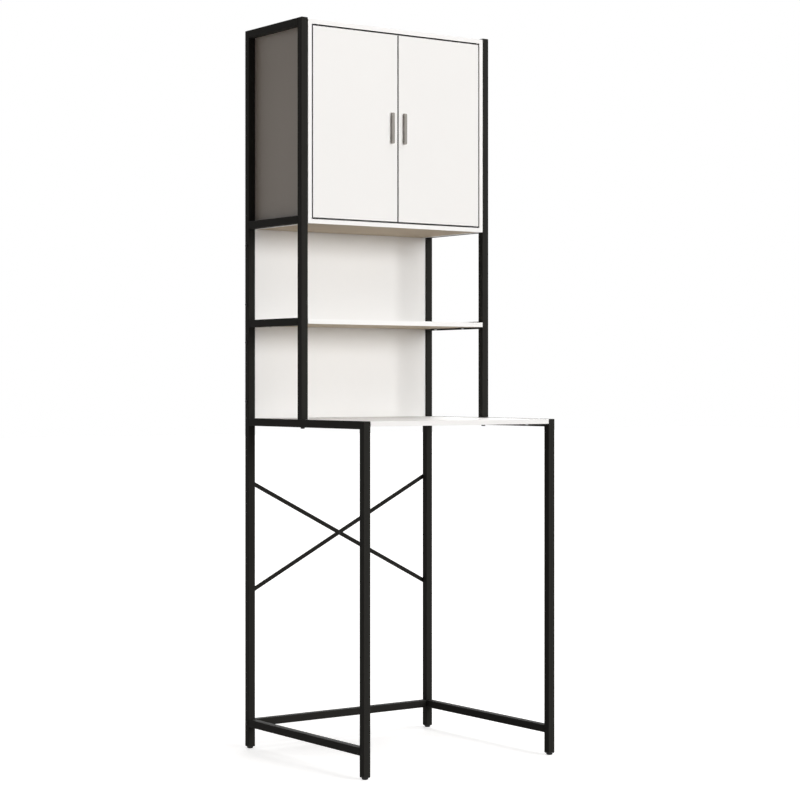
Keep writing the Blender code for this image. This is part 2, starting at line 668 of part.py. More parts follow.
def make_cabinet_inside():
    """The thin back of the cabinet, and its inner shelf with the dowels that carry it."""
    back_y = cabinet_rear_y + FIT_GAP
    board("cabinet_back", (-board_half, back_y, cabinet_low), (board_half, back_y + CABINET_BACK, cabinet_top))
    reach = opening_half - FIT_GAP
    shelf = board("inner_shelf", (-reach, inner_shelf_front_y, inner_shelf_low),
                  (reach, cabinet_rear_y, inner_shelf_low + CABINET_BOARD))
    dowels = bmesh.new()
    for _, side in SIDES:
        for seat in dowel_seats(side):
            add_turned(dowels, ((-DOWEL_BITE, DOWEL_RADIUS), (DOWEL_REACH, DOWEL_RADIUS)), seat, side * RIGHT)
    join(shelf, dowels)


def make_catch():
    """Double magnetic catch under the cabinet's top, behind the doors' meeting edges."""
    top = cabinet_ceiling - FIT_GAP
    catch = board("magnetic_catch", (-CATCH_WIDTH / 2, catch_front_y, top - CATCH_HEIGHT),
                  (CATCH_WIDTH / 2, catch_front_y + CATCH_DEPTH, top), WHITE_PLASTIC)
    screws = bmesh.new()
    sunk = CATCH_HEIGHT + FIT_GAP - SCREW_HEAD / 2
    for seat in catch_screw_seats():
        add_screw(screws, seat - UP * sunk, UP, SCREW_HEAD_RADIUS, SCREW_HEAD, SCREW_RADIUS,
                  sunk + SCREW_LENGTH)
    join(catch, screws)


def make_hinge_bushes():
    """Flanged bushes of black nylon in the cabinet's bottom and top, for the doors' pins."""
    bore = PIN_RADIUS + FIT_GAP
    profile = ((-FIT_GAP - bush_flange, BUSH_FLANGE_RADIUS), (-FIT_GAP, BUSH_FLANGE_RADIUS),
               (-FIT_GAP, BUSH_RADIUS), (BUSH_LENGTH, BUSH_RADIUS), (BUSH_LENGTH, bore),
               (-FIT_GAP - bush_flange, bore))
    for word, side in SIDES:
        for place, (seat, direction) in zip(("lower", "upper"), pivot_seats(side)):
            shape = bmesh.new()
            add_turned(shape, profile, seat, direction, bored=True)
            new_object("hinge_bush_%s_%s" % (place, word), shape, BLACK_PLASTIC, place=seat, smooth=True)


def make_doors():
    """Doors with their pins and handles, each parented to an empty on its pivot line."""
    for word, side in SIDES:
        pivot = bpy.data.objects.new("pivot_" + word, None)
        pivot.location = (side * pivot_x, pivot_y, door_low)
        bpy.context.scene.collection.objects.link(pivot)
        for piece in [door_board(word, side), door_handle(word, side)] + door_pins(word, side):
            piece.parent = pivot
            piece.location -= pivot.location


def door_board(word, side):
    """A door with its pin holes, its handle's holes and the catch's steel disc."""
    near, far = sorted((side * DOOR_GAP / 2, side * (opening_half - DOOR_GAP)))
    door = board("door_" + word, (near, post_front_y, door_low), (far, door_back_y, door_high))
    holes = [hole(seat, BACK, DOOR_THICKNESS + CUT_OVERRUN, HANDLE_SCREW_RADIUS)
             for seat in handle_screw_seats(side)]
    for height, inward in ((door_low, UP), (door_high, DOWN)):
        edge = Vector((side * pivot_x, pivot_y, height))
        holes.append(hole(edge, inward, PIN_IN_DOOR + FIT_GAP, PIN_RADIUS))
    drill(door, holes)
    disc = bmesh.new()
    profile = ((-STRIKE_PIN_LENGTH, STRIKE_PIN_RADIUS), (-STRIKE_THICKNESS, STRIKE_PIN_RADIUS),
               (-STRIKE_THICKNESS, STRIKE_RADIUS), (STRIKE_THICKNESS, STRIKE_RADIUS))
    seat = Vector((side * (DOOR_GAP / 2 + STRIKE_EDGE), door_back_y, strike_z))
    add_turned(disc, profile, seat, BACK, FOOT_SIDES)
    join(door, disc)
    return door


def door_pins(word, side):
    """Steel pins pressed into a door's lower and upper edges."""
    reach = DOOR_END_GAP + BUSH_LENGTH - FIT_GAP
    profile = ((-PIN_IN_DOOR, PIN_RADIUS - PIN_TIP), (PIN_TIP - PIN_IN_DOOR, PIN_RADIUS),
               (reach - PIN_TIP, PIN_RADIUS), (reach, PIN_RADIUS - PIN_TIP))
    pins = []
    for place, height, outward in (("lower", door_low, DOWN), ("upper", door_high, UP)):
        edge = Vector((side * pivot_x, pivot_y, height))
        shape = bmesh.new()
        add_turned(shape, profile, edge, outward)
        pins.append(new_object("door_pin_%s_%s" % (place, word), shape, ZINC, place=edge, smooth=True))
    return pins


def door_handle(word, side):
    """A flat bar on two feet, with the screws that come through the door from behind."""
    place = handle_place(side)
    half = HANDLE_LENGTH / 2
    out = HANDLE_STANDOFF + HANDLE_BAR
    outline = [(FIT_GAP, -half), (out - HANDLE_CORNER, -half), (out, HANDLE_CORNER - half),
               (out, half - HANDLE_CORNER), (out - HANDLE_CORNER, half), (FIT_GAP, half),
               (FIT_GAP, half - HANDLE_FOOT), (HANDLE_STANDOFF, half - HANDLE_FOOT),
               (HANDLE_STANDOFF, HANDLE_FOOT - half), (FIT_GAP, HANDLE_FOOT - half)]
    shape = bmesh.new()
    flanks = []
    for across in (-HANDLE_WIDTH / 2, HANDLE_WIDTH / 2):
        flanks.append([shape.verts.new(place + RIGHT * across + FORWARD * away + UP * along)
                       for away, along in outline])
        shape.faces.new(flanks[-1])
    first, second = flanks
    for step in range(len(outline)):
        shape.faces.new((first[step - 1], first[step], second[step], second[step - 1]))
    handle = new_object("handle_" + word, shape, BRUSHED_NICKEL, place=place, smooth=True)
    ease = handle.modifiers.new("ease", "BEVEL")
    ease.width = HANDLE_EASE
    ease.segments = 1
    ease.limit_method = "ANGLE"
    ease.angle_limit = math.radians(60)
    screws = bmesh.new()
    back = DOOR_THICKNESS + FIT_GAP
    profile = ((-HANDLE_SCREW_BITE, HANDLE_SCREW_RADIUS), (back, HANDLE_SCREW_RADIUS),
               (back, HANDLE_SCREW_HEAD_RADIUS), (back + HANDLE_SCREW_HEAD / 2, HANDLE_SCREW_HEAD_RADIUS),
               (back + HANDLE_SCREW_HEAD, HANDLE_SCREW_HEAD_RADIUS * HEAD_CROWN_SHARE))
    for seat in handle_screw_seats(side):
        add_turned(screws, profile, seat, BACK)
    join(handle, screws)
    return handle


clear_scene()
make_legs()
make_posts()
make_side_rails()
make_cross_rail()
make_feet()
make_frame_fasteners()
make_brace()
make_boards()
make_cabinet_sides()
make_cabinet_ends()
make_cabinet_inside()
make_catch()
make_hinge_bushes()
make_doors()
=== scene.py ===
"""Looks of a bathroom cabinet: two white doors, high on an open rack of black square tube.

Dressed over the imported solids, in metres. +Z is up, the front faces -Y, and left is -X.
"""
import math

import bmesh
import bpy
from mathutils import Matrix, Vector


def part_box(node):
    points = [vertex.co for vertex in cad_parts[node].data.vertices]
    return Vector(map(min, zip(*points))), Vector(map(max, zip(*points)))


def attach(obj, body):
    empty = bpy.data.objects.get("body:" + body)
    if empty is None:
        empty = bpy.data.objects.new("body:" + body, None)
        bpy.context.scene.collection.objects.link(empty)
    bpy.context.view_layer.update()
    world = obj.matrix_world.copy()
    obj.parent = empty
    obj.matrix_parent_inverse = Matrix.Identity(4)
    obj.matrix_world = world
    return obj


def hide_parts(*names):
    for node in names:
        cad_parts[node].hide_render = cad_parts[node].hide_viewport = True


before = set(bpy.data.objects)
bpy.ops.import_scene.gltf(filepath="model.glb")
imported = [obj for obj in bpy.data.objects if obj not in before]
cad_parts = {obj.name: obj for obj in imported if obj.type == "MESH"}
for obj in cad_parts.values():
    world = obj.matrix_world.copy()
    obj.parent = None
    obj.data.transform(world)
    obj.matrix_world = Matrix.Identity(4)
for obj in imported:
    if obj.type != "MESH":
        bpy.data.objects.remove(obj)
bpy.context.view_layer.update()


# Studio: a pale floor, white as far as it goes, and a white surround that the camera and gloss see.
# The strongest lamp is a soft one low in front, and a weaker one stands higher up on its right. Two
# more light the tops and the rear. The left sides of things lie in shade.
WHITE = (1, 1, 1, 1)
FILL = (1, 0.81, 0.67, 1)
FILL_STRENGTH = 0.057
FLOOR_REACH = 30
FLOOR_PALE = (0.80, 0.80, 0.80, 1)
FLOOR_GLOW = 0.60
FLOOR_BOUNCE = (0.174, 0.142, 0.113, 1)


class Tone:
    """An output in a material's nodes. Sums on values are written in Python and add Math nodes."""

    def __init__(self, tree, output):
        self.tree = tree
        self.output = output

    def node(self, kind, settings, inputs, output=0):
        """Another node of the same material: first its settings, then its sockets' values or links."""
        made = self.tree.nodes.new(kind)
        for name, value in settings.items():
            setattr(made, name, value)
        for name, value in inputs.items():
            if isinstance(value, Tone):
                self.tree.links.new(value.output, made.inputs[name])
            else:
                made.inputs[name].default_value = value
        return Tone(self.tree, made.outputs[output] if len(made.outputs) else None)

    def maths(self, operation, *values):
        return self.node("ShaderNodeMath", {"operation": operation}, dict(enumerate(values)))

    def __add__(self, other):
        return self.maths("ADD", self, other)

    def __mul__(self, other):
        return self.maths("MULTIPLY", self, other)

    __radd__ = __add__
    __rmul__ = __mul__

    def between(self, low, high):
        """A colour from low to high as this value goes from 0 to 1.

        A Mix node's factor is its socket 0, its colours are 6 and 7, and its mixed colour is output 2.
        """
        return self.node("ShaderNodeMix", {"data_type": "RGBA"}, {0: self, 6: (*low, 1), 7: (*high, 1)}, 2)

    def scaled(self, x, y, z):
        """A place stretched along each axis."""
        return self.node("ShaderNodeVectorMath", {"operation": "MULTIPLY"}, {0: self, 1: (x, y, z)})

    def noise(self, size, detail=2.0):
        """Soft noise with features of about a size in metres, from 0 to 1."""
        return self.node("ShaderNodeTexNoise", {}, {"Vector": self, "Scale": 1 / size, "Detail": detail})


def seen_or_reflected(tree):
    """1 for what the camera, a gloss or glass looks at, and 0 for light that falls on things."""
    rays = Tone(tree, tree.nodes.new("ShaderNodeLightPath").outputs["Is Camera Ray"])
    path = rays.output.node
    for ray in ("Is Glossy Ray", "Is Transmission Ray"):
        rays = rays.maths("MAXIMUM", rays, Tone(tree, path.outputs[ray]))
    return rays


scene = bpy.context.scene
scene.view_settings.view_transform = "Standard"

world = bpy.data.worlds.new("studio")
world.use_nodes = True
scene.world = world
nodes = world.node_tree.nodes
nodes.clear()
rays = seen_or_reflected(world.node_tree)
dim = rays.node("ShaderNodeBackground", {}, {"Color": FILL, "Strength": FILL_STRENGTH})
bright = rays.node("ShaderNodeBackground", {}, {"Color": WHITE, "Strength": 1.0})
surround = rays.node("ShaderNodeMixShader", {}, {0: rays, 1: dim, 2: bright})
surround.node("ShaderNodeOutputWorld", {}, {"Surface": surround})

shape = bmesh.new()
bmesh.ops.create_grid(shape, x_segments=6, y_segments=6, size=FLOOR_REACH)
mesh = bpy.data.meshes.new("floor")
shape.to_mesh(mesh)
shape.free()
floor = bpy.data.objects.new("floor", mesh)
scene.collection.objects.link(floor)
pale = bpy.data.materials.new("pale_floor")
pale.use_nodes = True
nodes = pale.node_tree.nodes
nodes.clear()
rays = seen_or_reflected(pale.node_tree)
dull = rays.node("ShaderNodeBsdfDiffuse", {}, {"Color": FLOOR_BOUNCE})
matt = rays.node("ShaderNodeBsdfDiffuse", {}, {"Color": FLOOR_PALE})
glow = rays.node("ShaderNodeEmission", {}, {"Color": WHITE, "Strength": FLOOR_GLOW})
white = rays.node("ShaderNodeAddShader", {}, {0: matt, 1: glow})
surface = rays.node("ShaderNodeMixShader", {}, {0: rays, 1: dull, 2: white})
surface.node("ShaderNodeOutputMaterial", {}, {"Surface": surface})
mesh.materials.append(pale)


def lamp(name, bearing, height, spread, power, colour, in_gloss=True):
    """A distant soft lamp. Its bearing goes round from the front to the right. Angles are in degrees."""
    data = bpy.data.lights.new(name, "SUN")
    data.angle = math.radians(spread)
    data.energy = power
    data.color = colour
    item = bpy.data.objects.new(name, data)
    item.rotation_euler = (math.radians(90 - height), 0, math.radians(bearing))
    item.visible_glossy = in_gloss
    scene.collection.objects.link(item)


lamp("right_lamp", 34, 42, 36, 0.56, (1, 0.995, 0.985))
lamp("front_lamp", 12, 5, 24, 2.69, (1, 1, 0.998), in_gloss=False)
lamp("top_lamp", 40, 78, 40, 1.3, (1, 1, 1))
lamp("back_lamp", 150, 30, 40, 1.1, (1, 1, 1))

# Camera: a long lens at waist height, level and turned to the right, with the picture shifted a little.
# The focal length and the horizon's row are in pixels of the finished picture.
EYE = (-3.3548, -4.7017, 1.0285)
TURN = math.radians(35.57)
PICTURE = 800
FOCUS = 2070.37
HORIZON = 382.48
FAR = 100
data = bpy.data.cameras.new("eye")
data.sensor_width = 36
data.lens = FOCUS * data.sensor_width / PICTURE
data.shift_y = (HORIZON - PICTURE / 2) / PICTURE
data.clip_end = FAR
eye = bpy.data.objects.new("eye", data)
eye.location = EYE
eye.rotation_euler = (math.pi / 2, 0, -TURN)
scene.collection.objects.link(eye)
scene.camera = eye


# Legs and posts: square steel tube with round corners, cut, welded and powder-coated matt black.
# A leg's lower end holds a plastic plug with a thin flange, and each open top has a flat plastic cap.
CORNER_ROUND = 0.0018
CORNER_FLATS = 5
TUBE_WALL = 0.0012
END_EASE = 0.0003
FLANGE = 0.0016
FLANGE_INSET = 0.0002
FLANGE_SLOPE = 0.0009
FLANGE_SLOPE_SHARE = 0.55
STEM_HOLE = 0.0036
CAP = 0.0014
CAP_INSET = 0.00015
CAP_SLOPE = 0.0008
CAP_SLOPE_SHARE = 0.5
SHARP_ANGLE = math.radians(32)
COAT_BLACK = (0.0165, 0.0160, 0.0145)
COAT_RUBBED_AND_HIGHLIT = (0.042, 0.041, 0.038)
COAT_MOTTLE = 0.060
COAT_PEEL = 0.0030
COAT_GRAIN = 0.0007
COAT_DEPTH = 0.000025
PLASTIC_BLACK = (0.008, 0.008, 0.008)
PLASTIC_WORN = (0.014, 0.014, 0.0135)
PLASTIC_CLOUD = 0.012
PLASTIC_GRAIN = 0.0004
PLASTIC_DEPTH = 0.00002
UP = Vector((0, 0, 1))
SIDES = (("left", -1), ("right", 1))


def material(name, constants):
    """A new material. Gives it back with the place on a piece, in metres, for its patterns."""
    made = bpy.data.materials.new(name)
    made.use_nodes = True
    tree = made.node_tree
    for socket, value in constants.items():
        tree.nodes["Principled BSDF"].inputs[socket].default_value = value
    return made, Tone(tree, tree.nodes.new("ShaderNodeTexCoord").outputs["Object"])


def dress(made, colour, roughness, relief, depth):
    """Join a material's colour, roughness and relief to its shader."""
    inputs = made.node_tree.nodes["Principled BSDF"].inputs
    links = made.node_tree.links
    links.new(colour.output, inputs["Base Color"])
    links.new(roughness.output, inputs["Roughness"])
    bump = relief.node("ShaderNodeBump", {}, {"Height": relief, "Distance": depth, "Strength": 1.0})
    links.new(bump.output, inputs["Normal"])


powder_coat, place = material("powder_coat", {"Specular IOR Level": 0.09})
mottle = place.noise(COAT_MOTTLE, 3)
grain = place.noise(COAT_GRAIN, 2)
# Lighter on the tubes' rounded corners: partly wear, partly a painted highlight.
worn_and_highlit = place.node("ShaderNodeAttribute", {"attribute_name": "edge"}, {}, "Fac") * (0.5 + mottle * 0.8)
dress(powder_coat, (worn_and_highlit * 0.55 + mottle * 0.25).between(COAT_BLACK, COAT_RUBBED_AND_HIGHLIT),
      0.62 + grain * 0.08 + mottle * 0.12, grain * 0.5 + place.noise(COAT_PEEL, 2) * 1.5, COAT_DEPTH)

black_plastic, place = material("moulded_black_plastic", {"Specular IOR Level": 0.35})
grain = place.noise(PLASTIC_GRAIN, 2)
dress(black_plastic, place.noise(PLASTIC_CLOUD, 3).between(PLASTIC_BLACK, PLASTIC_WORN),
      0.50 + grain * 0.15, grain, PLASTIC_DEPTH)


def rounded_square(side, radius=CORNER_ROUND, flats=CORNER_FLATS):
    """Points round a square with rounded corners, centred on zero."""
    points = []
    for corner in range(4):
        centre = Matrix.Rotation(corner * math.pi / 2, 2) @ Vector((side / 2 - radius,) * 2)
        for step in range(flats + 1):
            turn = (corner + step / flats) * math.pi / 2
            points.append(centre + radius * Vector((math.cos(turn), math.sin(turn))))
    return points


def circle(radius, sides=24):
    """Points round a circle, centred on zero."""
    turns = [step / sides * math.tau for step in range(sides)]
    return [radius * Vector((math.cos(turn), math.sin(turn))) for turn in turns]


def shell(shape, loops, ring=False):
    """Faces between each loop of points and the next, with one more on each end.

    A ring joins its last loop to its first instead, which leaves a way through.
    """
    if ring:
        loops = loops + [loops[0]]
    else:
        shape.faces.new(loops[0])
        shape.faces.new(loops[-1])
    for first, second in zip(loops, loops[1:]):
        for step in range(len(first)):
            shape.faces.new((first[step - 1], first[step], second[step], second[step - 1]))


def skin(shape, sections, start, direction, ring=False):
    """A closed body through outlines, each with its distance along a direction from a start."""
    matrix = Matrix.Translation(start) @ UP.rotation_difference(direction).to_matrix().to_4x4()
    loops = [[shape.verts.new(matrix @ Vector((*point, along))) for point in outline]
             for outline, along in sections]
    shell(shape, loops, ring)
    return loops


def piece(name, shape, materials, body, nodes=()):
    """A finished piece from its shape: its materials, its body and the nodes it stands for."""
    bmesh.ops.recalc_face_normals(shape, faces=shape.faces)
    mesh = bpy.data.meshes.new(name)
    shape.to_mesh(mesh)
    shape.free()
    for made in materials:
        mesh.materials.append(made)
    mesh.shade_smooth()
    mesh.set_sharp_from_angle(angle=SHARP_ANGLE)
    item = bpy.data.objects.new(name, mesh)
    scene.collection.objects.link(item)
    even = item.modifiers.new("even_faces", "WEIGHTED_NORMAL")
    even.keep_sharp = True
    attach(item, body)
    if nodes:
        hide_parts(*nodes)


def tube(name, low, high, node):
    """A square tube between two opposite corners, with eased ends, in place of a node."""
    size = high - low
    axis = max(range(3), key=lambda i: size[i])
    direction = Vector([float(i == axis) for i in range(3)])
    start = (low + high) / 2 - direction * size[axis] / 2
    side, length = size[(axis + 1) % 3], size[axis]
    bore = rounded_square(side - 2 * TUBE_WALL, CORNER_ROUND - TUBE_WALL)
    outside = [(rounded_square(side - 2 * END_EASE), 0), (rounded_square(side), END_EASE),
               (rounded_square(side), length - END_EASE), (rounded_square(side - 2 * END_EASE), length)]
    shape = bmesh.new()
    # Each corner's weight lightens the coat there, as wear and as a painted highlight.
    edge = shape.verts.layers.float.new("edge")
    loops = skin(shape, outside + [(bore, length), (bore, 0)], start, direction, ring=True)
    for loop in loops[:len(outside)]:
        for step, point in enumerate(loop):
            along = abs(step % (CORNER_FLATS + 1) - CORNER_FLATS / 2)
            point[edge] = 1 - along / (CORNER_FLATS / 2)
    piece(name, shape, [powder_coat], "frame", [node])


def plug(name, low_end):
    """The plug in a leg's lower end, with a hole for the foot's stem."""
    rim = rounded_square(TUBE - 2 * FLANGE_INSET)
    opening = circle(STEM_HOLE, len(rim))
    shape = bmesh.new()
    skin(shape, [(rounded_square(TUBE - 2 * FLANGE_SLOPE), 0), (rim, FLANGE * FLANGE_SLOPE_SHARE),
                 (rim, FLANGE), (opening, FLANGE), (opening, 0)], low_end, UP, ring=True)
    piece(name + "_plug", shape, [black_plastic], "frame")


def cap(name, tube_end):
    """The flat cap on a tube's upper end."""
    rim = rounded_square(TUBE - 2 * CAP_INSET)
    shape = bmesh.new()
    skin(shape, [(rim, 0), (rim, CAP * CAP_SLOPE_SHARE), (rounded_square(TUBE - 2 * CAP_SLOPE), CAP)],
         tube_end, UP)
    piece(name + "_cap", shape, [black_plastic], "frame")


low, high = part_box("front_leg_left")
TUBE = high.x - low.x
LEG_LOW = low.z
LEG_HIGH = high.z
for word, _ in SIDES:
    for row in ("front_leg_", "rear_leg_", "front_post_", "rear_post_"):
        name = row + word
        low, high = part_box(name)
        middle = (low + high) / 2
        if row.endswith("leg_"):
            plug(name, Vector((middle.x, middle.y, LEG_LOW)))
            low.z += FLANGE
        if row != "rear_leg_":
            high.z -= CAP
            cap(name, Vector((middle.x, middle.y, high.z)))
        if row == "rear_post_":
            low.z = LEG_HIGH
        tube(name + "_tube", low, high, name)

# Levelling feet: moulded glides with gripped rims, each on a zinc-plated threaded stem that screws up
# into its leg's plug.
CLEARANCE = 0.0003
GRIPS = 18
GRIP_STEPS = 4
GRIP_DEPTH = 0.0005
STEM_RADIUS = 0.003
STEM_BITE = 0.001
STEM_THREAD = 0.00045
THREAD_PITCH = 0.001
THREAD_SIDES = 12
ZINC_GREY = (0.50, 0.51, 0.53)
ZINC_PALE = (0.64, 0.64, 0.63)
ZINC_CLOUD = 0.004
ZINC_GRAIN = 0.0006
ZINC_DEPTH = 0.00001
# Shares of a glide's radius, of its height and of its grips' depth, from the floor up
GLIDE_SHARES = ((0.66, 0, 0), (0.74, 0.08, 0), (0.92, 0.27, 0), (1, 0.38, 0.4), (1, 0.54, 1), (1, 0.77, 1),
                (0.93, 0.88, 0), (0.80, 0.98, 0), (0.55, 1, 0))

zinc, place = material("bright_zinc", {"Metallic": 1.0})
cloud = place.noise(ZINC_CLOUD, 3)
dress(zinc, cloud.between(ZINC_GREY, ZINC_PALE), 0.24 + cloud * 0.22, place.noise(ZINC_GRAIN), ZINC_DEPTH)


def gripped(radius, depth):
    """Points round a rim with shallow finger grips."""
    points = []
    for step in range(GRIPS * GRIP_STEPS):
        turn = step / (GRIPS * GRIP_STEPS) * math.tau
        reach = radius - depth * (0.5 - 0.5 * math.cos(turn * GRIPS))
        points.append(reach * Vector((math.cos(turn), math.sin(turn))))
    return points


def thread(shape, start, direction, radius, length, depth):
    """A threaded shank from a start."""
    crest, root = circle(radius, THREAD_SIDES), circle(radius - depth, THREAD_SIDES)
    sections = [(root, 0)]
    for step in range(int(length / THREAD_PITCH)):
        sections += [(crest, (step + 0.5) * THREAD_PITCH), (root, (step + 1) * THREAD_PITCH)]
    skin(shape, sections, start, direction)


for word, _ in SIDES:
    for row in ("front_", "rear_"):
        name = "foot_" + row + word
        low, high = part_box(name)
        middle = Vector(((low.x + high.x) / 2, (low.y + high.y) / 2, 0))
        radius = (high.x - low.x) / 2
        top = LEG_LOW - CLEARANCE
        rims = [(gripped(radius * wide, GRIP_DEPTH * grip), top * up) for wide, up, grip in GLIDE_SHARES]
        glide = bmesh.new()
        skin(glide, rims, middle, UP)
        piece(name + "_glide", glide, [black_plastic], name, [name])
        stem = bmesh.new()
        thread(stem, middle + UP * (top - STEM_BITE), UP, STEM_RADIUS, high.z - top, STEM_THREAD)
        piece(name + "_stem", stem, [zinc], name)

# Rails: shorter lengths of the same tube. They are welded between the front and rear tubes, with a
# rippled bead above and below each joint, and coated with them. The faces that show are ground flush.
BEAD = 0.0021
BEAD_BITE = 0.0004
BEAD_END_SHARE = 0.35
BEAD_GROWTH = 6
RIPPLE = 0.0017
RIPPLE_STEPS = 4
RIPPLE_SHARE = 0.14
FILLET_SHARES = ((0.30, 0.80), (0.55, 0.55), (0.80, 0.30))
DOWN = Vector((0, 0, -1))
BACK = Vector((0, 1, 0))
FORWARD = Vector((0, -1, 0))
RIGHT = Vector((1, 0, 0))
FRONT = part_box("front_leg_left")[0].y
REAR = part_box("rear_leg_left")[1].y
POST_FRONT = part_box("front_post_left")[0].y
RAILS = (("floor_rail_", FRONT, (UP, DOWN)), ("table_rail_", FRONT, (DOWN,)),
         ("shelf_rail_", POST_FRONT, (UP, DOWN)), ("cabinet_rail_", POST_FRONT, (UP, DOWN)),
         ("top_rail_", POST_FRONT, (DOWN,)))


def bead(shape, corner, reach, along, height):
    """A weld bead across a rail's joint: a rippled fillet from one corner point, reach long in X."""
    steps = round(reach / RIPPLE) * RIPPLE_STEPS
    rows = []
    for step in range(steps + 1):
        share = step / steps
        swell = 1 - RIPPLE_SHARE + RIPPLE_SHARE * math.cos(step / RIPPLE_STEPS * math.tau)
        size = BEAD * swell * min(1, BEAD_END_SHARE + BEAD_GROWTH * min(share, 1 - share))
        profile = [(-BEAD_BITE, -BEAD_BITE), (-BEAD_BITE, size)]
        profile += [(size * out, size * up) for out, up in FILLET_SHARES]
        profile.append((size, -BEAD_BITE))
        spot = corner + RIGHT * (share - 0.5) * reach
        rows.append([shape.verts.new(spot + out * along + up * height) for out, up in profile])
    shell(shape, rows)


for word, side in SIDES:
    welds = bmesh.new()
    for row, face, ways in RAILS:
        low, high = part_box(row + word)
        middle = side * (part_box("front_leg_right")[0].x + TUBE / 2)
        low = Vector((middle - TUBE / 2, face + TUBE, high.z - TUBE))
        high = Vector((middle + TUBE / 2, REAR - TUBE, high.z))
        tube(row + word + "_tube", low, high, row + word)
        for way in ways:
            z = high.z if way == UP else low.z
            bead(welds, Vector((middle, low.y, z)), TUBE - 2 * CORNER_ROUND, BACK, way)
            bead(welds, Vector((middle, high.y, z)), TUBE - 2 * CORNER_ROUND, FORWARD, way)
    piece("weld_beads_" + word, welds, [powder_coat], "frame")

low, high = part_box("rear_cross_rail")
tube("rear_cross_tube", low, high, "rear_cross_rail")

# Frame bolts: button heads with hexagon sockets, in black steel. They hold the low cross rail between
# the rear legs, the front posts on the table rails, and the back panels between the rear posts.
BUTTON_HEAD = (0.005, 0.0027)
POST_BOLT_HEAD = (0.006, 0.0035)
BOLT_SHANK = 0.0021
STEEL_BLACK = (0.010, 0.010, 0.010)
STEEL_RUBBED = (0.034, 0.033, 0.032)
STEEL_RUB = 0.0012
STEEL_GRAIN = 0.0003
STEEL_DEPTH = 0.00001
CROWN_SHARES = ((0.97, 0), (1, 0.12), (1, 0.30), (0.93, 0.62), (0.78, 0.88), (0.62, 1))
DRIVE_SHARES = ((0.50, 1), (0.46, 0.35))
DRIVE_FLOOR_SHARES = (0.10, 0.25)
THREAD_SHARE = 0.16

black_steel, place = material("black_steel", {"Metallic": 0.3, "Specular IOR Level": 0.25})
rub = place.noise(STEEL_RUB, 3)
dress(black_steel, rub.between(STEEL_BLACK, STEEL_RUBBED), 0.38 + rub * 0.25, place.noise(STEEL_GRAIN),
      STEEL_DEPTH)


def hexagon(reach, sides=24):
    """Points round a hexagon."""
    points = []
    for step in range(sides):
        turn = step / sides * math.tau
        away = reach / math.cos(turn % (math.pi / 3) - math.pi / 6)
        points.append(away * Vector((math.cos(turn), math.sin(turn))))
    return points


def screw(shape, seat, outward, head, drive, shank=0, shank_radius=0):
    """A crowned head, given by its radius and height, that stands outward from its seat.

    It has a drive recess and a threaded shank.
    """
    radius, height = head
    sections = [(circle(radius * wide), height * up) for wide, up in CROWN_SHARES]
    sections += [(drive(radius * wide), height * up) for wide, up in DRIVE_SHARES]
    wide, up = DRIVE_FLOOR_SHARES
    skin(shape, sections + [(circle(radius * wide), height * up)], seat, outward)
    if shank:
        thread(shape, seat, -outward, shank_radius, shank, shank_radius * THREAD_SHARE)


for word, side in SIDES:
    outward = side * RIGHT
    bolts = [("cross_rail_bolt_" + word, outward, BUTTON_HEAD), ("post_bolt_" + word, DOWN, POST_BOLT_HEAD)]
    bolts += [("panel_screw_%s_%d" % (word, number), outward, BUTTON_HEAD) for number in (1, 2, 3, 4)]
    for name, way, head in bolts:
        low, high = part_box(name)
        reach = abs(((high - low) / 2).dot(way))
        seat = (low + high) / 2 + way * (reach - head[1])
        bolt = bmesh.new()
        screw(bolt, seat, way, head, hexagon, 2 * reach - head[1], BOLT_SHANK)
        piece(name + "_hex", bolt, [black_steel], "frame", [name])

# Cross brace: two flat steel strips with round ends and eased edges, crossed behind the open bay. A
# rivet joins them in the middle, and pan screws hold their ends to the rear legs.
STRIP_WIDTH = 0.012
STRIP = 0.0016
STRIP_EASE = 0.0003
STRIP_END_STEPS = 12
BRACE_HEAD = (0.005, 0.0022)
CROSS_ARM_SHARE = 0.27
COLLAR = ((0.005, 0), (0.005, 0.0018))
RIVET_REAR = ((0.005, 0), (0.0049, 0.0006), (0.0042, 0.0013), (0.0028, 0.0018), (0.0012, 0.0021))
RIVET_FRONT = ((0.0046, 0), (0.0040, 0.0010), (0.0022, 0.0016))


def cross(reach, sides=24):
    """Points round a screwdriver cross."""
    points = []
    for step in range(sides):
        turn = step / sides * math.tau
        x, y = math.cos(turn), math.sin(turn)
        away = reach / max(abs(x), abs(y), min(abs(x), abs(y)) / CROSS_ARM_SHARE)
        points.append(away * Vector((x, y)))
    return points


def turned(shape, profile, seat, direction, sides=24, ring=False):
    """A turned body. Each point of its profile is a radius and a distance from the seat."""
    skin(shape, [(circle(radius, sides), along) for radius, along in profile], seat, direction, ring)


def strip_outline(start, end, width):
    """Points round a strip with round ends."""
    along = (end - start).normalized()
    across = along.cross(BACK)
    points = []
    for middle, way, sideways in ((end, along, across), (start, -along, -across)):
        for step in range(STRIP_END_STEPS + 1):
            turn = math.pi * (step / STRIP_END_STEPS - 0.5)
            points.append(middle + width / 2 * (way * math.cos(turn) + sideways * math.sin(turn)))
    return points


